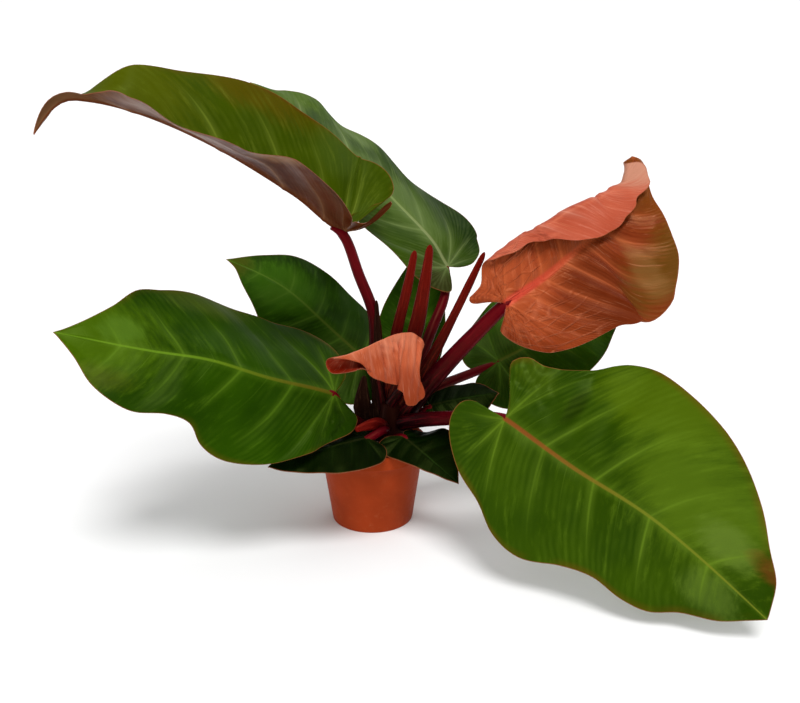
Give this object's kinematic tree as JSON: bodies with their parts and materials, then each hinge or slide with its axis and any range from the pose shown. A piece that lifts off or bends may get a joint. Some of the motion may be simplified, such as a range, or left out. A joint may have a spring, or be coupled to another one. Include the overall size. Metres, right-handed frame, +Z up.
{
  "type": "potted philodendron",
  "caption": "Round tapered nursery pot of soil with a red-stemmed aroid: long heart-shaped leaves on thick upright stalks, an orange young leaf, and red leaf sheaths at the crown.",
  "frame": {"origin": "centre of the pot's underside, on the surface it stands on", "axes": "+Z up along the pot's axis; -Y the front, towards the viewer; +X the viewer's right, the side of the orange young leaf"},
  "size_m": [0.678, 0.4426, 0.4921],
  "materials": {
    "pot_plastic": "matt thermoformed plastic with a fine orange-peel skin",
    "soil": "loose bark and peat mix with white perlite grains",
    "stem": "fleshy plant tissue, satin",
    "leaf_mature": "leathery green leaf with pale veins, satin sheen",
    "leaf_dark": "leathery dark green leaf, satin sheen",
    "leaf_young": "soft salmon-orange young leaf, satin sheen",
    "petiole": "smooth crimson leaf stalk, satin sheen",
    "sheath": "thin red leaf sheath, satin",
    "dry_sheath": "withered dark brown sheath, matt"
  },
  "bodies": {
    "root": {"pot": "pot_plastic", "soil": "soil", "stem": "stem", "blade_high_left": "leaf_mature", "blade_high_back": "leaf_mature", "blade_back_left": "leaf_dark", "blade_front_left": "leaf_mature", "blade_young_right": "leaf_young", "blade_young_middle": "leaf_young", "blade_low_right": "leaf_mature", "blade_back_right": "leaf_dark", "blade_small_left": "leaf_dark", "blade_small_front": "leaf_dark", "blade_small_back": "leaf_dark", "blade_small_right": "leaf_dark", "petiole_young_right": "petiole", "petiole_high_left": "petiole", "petiole_high_back": "petiole", "petiole_low_right": "petiole", "petiole_front_left": "petiole", "petiole_back_right": "petiole", "petiole_back_left": "petiole", "petiole_young_middle": "petiole", "petiole_small_back": "petiole", "petiole_small_left": "petiole", "petiole_small_front": "petiole", "petiole_small_right": "petiole", "sheath_left": "sheath", "sheath_middle": "sheath", "sheath_right": "sheath", "sheath_dry_tall": "dry_sheath", "sheath_dry_short": "dry_sheath", "sheath_low": "sheath"}
  },
  "joints": []
}
